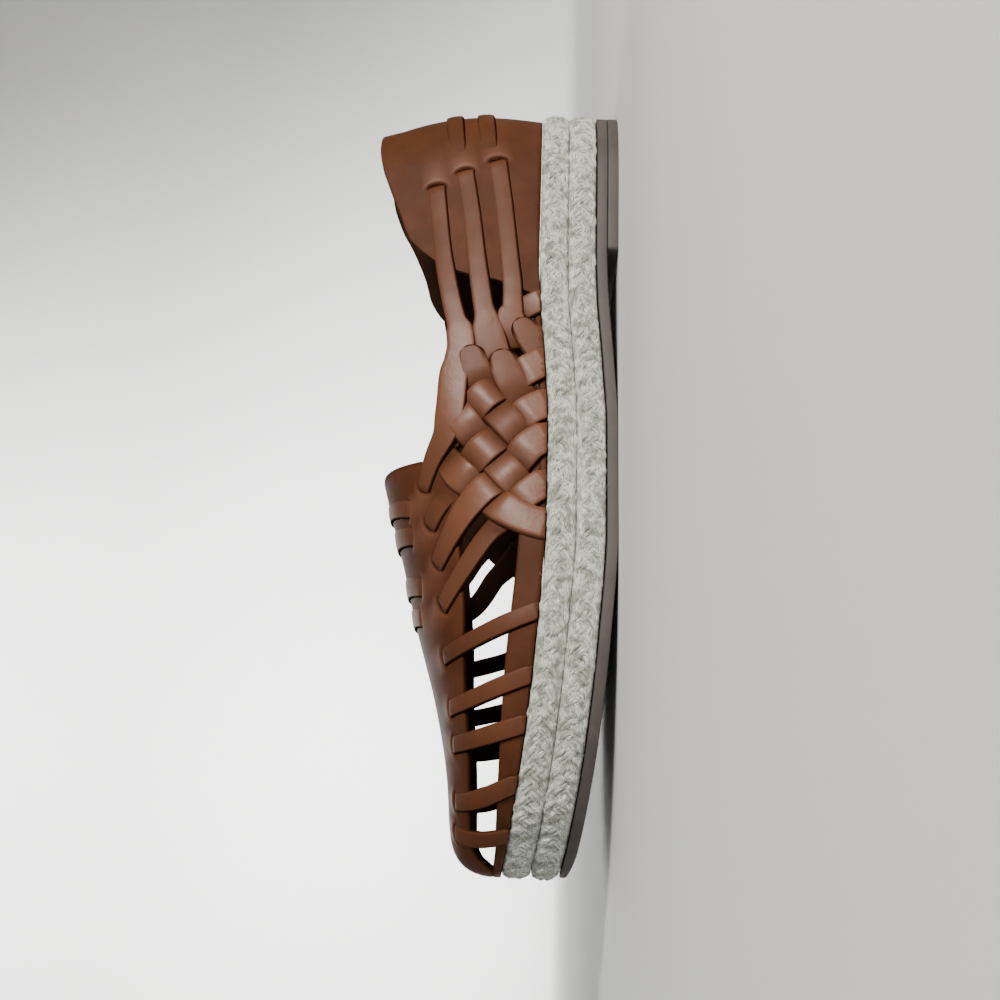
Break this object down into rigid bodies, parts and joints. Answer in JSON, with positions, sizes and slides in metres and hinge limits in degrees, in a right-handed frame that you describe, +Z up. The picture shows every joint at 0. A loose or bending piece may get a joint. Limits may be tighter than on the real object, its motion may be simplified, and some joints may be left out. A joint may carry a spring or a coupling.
{
  "type": "espadrille",
  "caption": "Woven leather espadrille slip-on for the left foot: strapped heel counter, woven quarters, barred toe cage, plaited jute platform on a thin rubber sole.",
  "frame": {"origin": "on the floor, under the middle of the shoe's overall box", "axes": "+X from heel to toe, +Y towards the outer side of the left foot, +Z up"},
  "size_m": [0.252, 0.09, 0.0784],
  "materials": {
    "sole_rubber": "matt moulded taupe rubber",
    "jute_plait": "natural plaited jute, hairy and matt",
    "sock_leather": "smooth tan lining leather",
    "strap_leather": "smooth brown leather, semi-gloss"
  },
  "bodies": {
    "root": {"heel_lift": "sole_rubber", "outsole": "sole_rubber", "jute_midsole": "jute_plait", "insole": "sock_leather", "upper": "strap_leather"}
  },
  "joints": []
}
